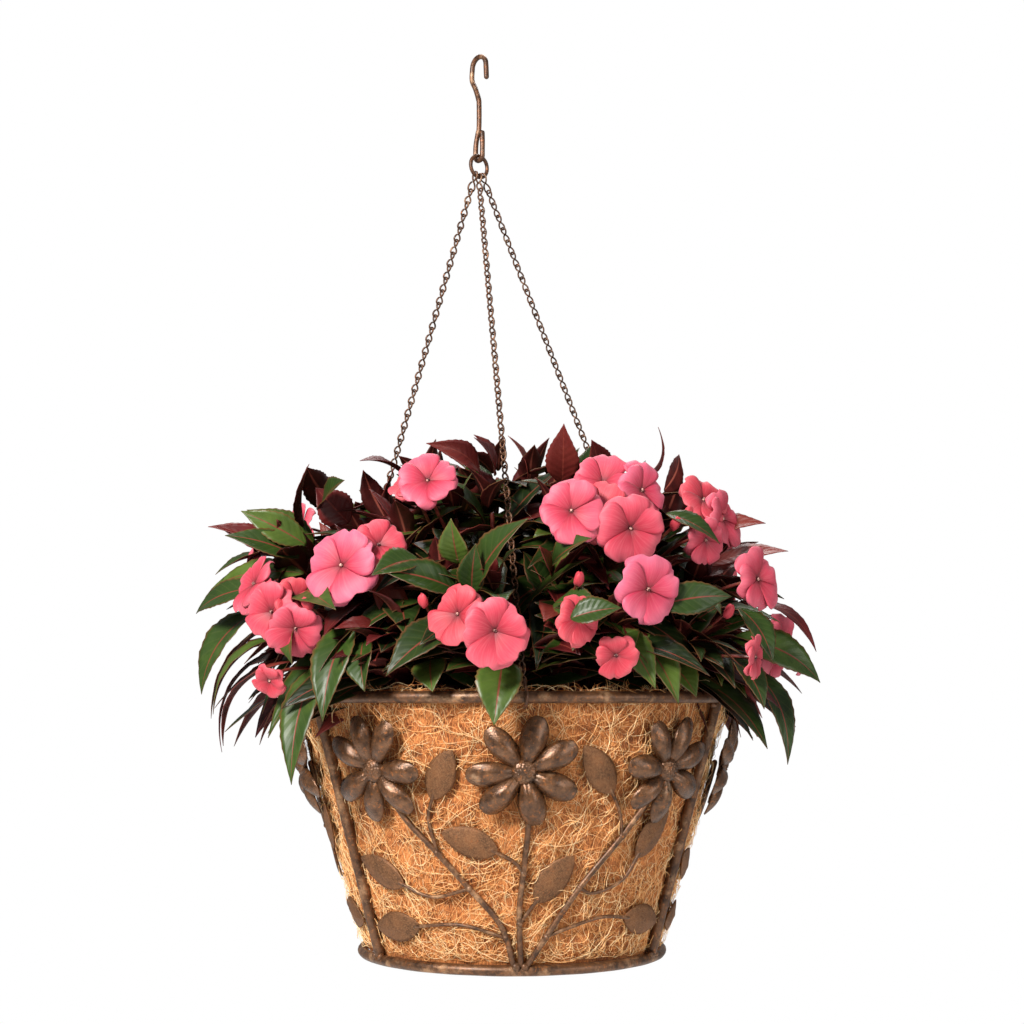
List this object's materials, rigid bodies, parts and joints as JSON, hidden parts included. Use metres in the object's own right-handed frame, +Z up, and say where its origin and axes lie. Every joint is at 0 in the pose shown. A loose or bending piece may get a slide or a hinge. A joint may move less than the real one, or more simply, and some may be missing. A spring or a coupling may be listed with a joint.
{
  "type": "hanging basket",
  "caption": "Wrought hanging basket with stamped flowers and vines, coir liner and impatiens, on link chains with a ring and an open wire hook.",
  "frame": {"origin": "inside top of the hook's bight, the point the basket hangs from", "axes": "+Z up, -Y to the front panel, +X to the right seen from the front"},
  "size_m": [0.5398, 0.5399, 0.8303],
  "materials": {
    "bronze_frame": "satin",
    "hook_wire": "satin",
    "chain_wire": "satin",
    "coir": "matte",
    "potting_mix": "matte",
    "foliage": "satin"
  },
  "bodies": {
    "hook": {"hook": "hook_wire"},
    "ring": {"ring": "hook_wire"},
    "basket": {"top_rim": "bronze_frame", "base_ring": "bronze_frame", "base_cross": "bronze_frame", "upright_front": "bronze_frame", "upright_right": "bronze_frame", "upright_left": "bronze_frame", "flower_front_left": "bronze_frame", "flower_front_middle": "bronze_frame", "flower_front_right": "bronze_frame", "flower_right_left": "bronze_frame", "flower_right_middle": "bronze_frame", "flower_right_right": "bronze_frame", "flower_left_left": "bronze_frame", "flower_left_middle": "bronze_frame", "flower_left_right": "bronze_frame", "seed_head_front_left": "bronze_frame", "seed_head_front_middle": "bronze_frame", "seed_head_front_right": "bronze_frame", "seed_head_right_left": "bronze_frame", "seed_head_right_middle": "bronze_frame", "seed_head_right_right": "bronze_frame", "seed_head_left_left": "bronze_frame", "seed_head_left_middle": "bronze_frame", "seed_head_left_right": "bronze_frame", "vine_front_left": "bronze_frame", "vine_front_middle": "bronze_frame", "vine_front_right": "bronze_frame", "vine_right_left": "bronze_frame", "vine_right_middle": "bronze_frame", "vine_right_right": "bronze_frame", "vine_left_left": "bronze_frame", "vine_left_middle": "bronze_frame", "vine_left_right": "bronze_frame", "top_link_front": "chain_wire", "top_link_right": "chain_wire", "top_link_left": "chain_wire", "coir_liner": "coir", "potting_mix": "potting_mix", "plant_right": "foliage", "plant_back": "foliage", "plant_left": "foliage"},
    "chain_front": {"chain_front": "chain_wire", "rim_hook_front": "chain_wire"},
    "chain_right": {"chain_right": "chain_wire", "rim_hook_right": "chain_wire"},
    "chain_left": {"chain_left": "chain_wire", "rim_hook_left": "chain_wire"}
  },
  "joints": [
    {"name": "ring_swing", "type": "hinge", "parent": "hook", "child": "ring", "pos_m": [0, 0, -0.098], "axis": [0.6428, -0.766, 0], "range_deg": [-25, 25]},
    {"name": "basket_swing", "type": "hinge", "parent": "ring", "child": "basket", "pos_m": [0, 0, -0.1134], "axis": [0.766, 0.6428, 0], "range_deg": [-25, 25]},
    {"name": "chain_front_unhook", "type": "hinge", "parent": "basket", "child": "chain_front", "pos_m": [0.00088, -0.0056, -0.1277], "axis": [-0.988, -0.1547, 0], "range_deg": [0, 50]},
    {"name": "chain_right_unhook", "type": "hinge", "parent": "basket", "child": "chain_right", "pos_m": [0.00921, 0.00576, -0.12629], "axis": [0.4345, -0.9007, 0], "range_deg": [0, 50]},
    {"name": "chain_left_unhook", "type": "hinge", "parent": "basket", "child": "chain_left", "pos_m": [-0.00763, -0.00015, -0.12679], "axis": [0.5981, 0.8014, 0], "range_deg": [0, 50]}
  ]
}
